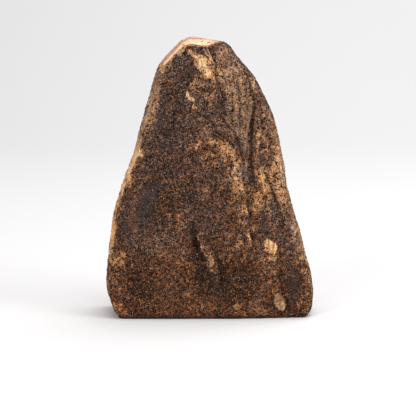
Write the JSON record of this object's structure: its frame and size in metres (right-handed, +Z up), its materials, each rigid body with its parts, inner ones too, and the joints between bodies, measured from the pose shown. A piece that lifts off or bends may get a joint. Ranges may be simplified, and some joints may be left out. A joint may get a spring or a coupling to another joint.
{
  "type": "guanciale",
  "caption": "Whole cured pork jowl under a crust of cracked black pepper, broad at the foot and trimmed at the tip, standing on its flat broad end.",
  "frame": {"origin": "on the surface that the jowl stands on, under the middle of its box", "axes": "+Z up from the broad end to the trimmed tip, -Y out of the side that the picture shows, +X to the right of that side"},
  "size_m": [0.1988, 0.0586, 0.264],
  "materials": {
    "pepper_crust": null
  },
  "bodies": {
    "root": {"guanciale": "pepper_crust"}
  },
  "joints": []
}
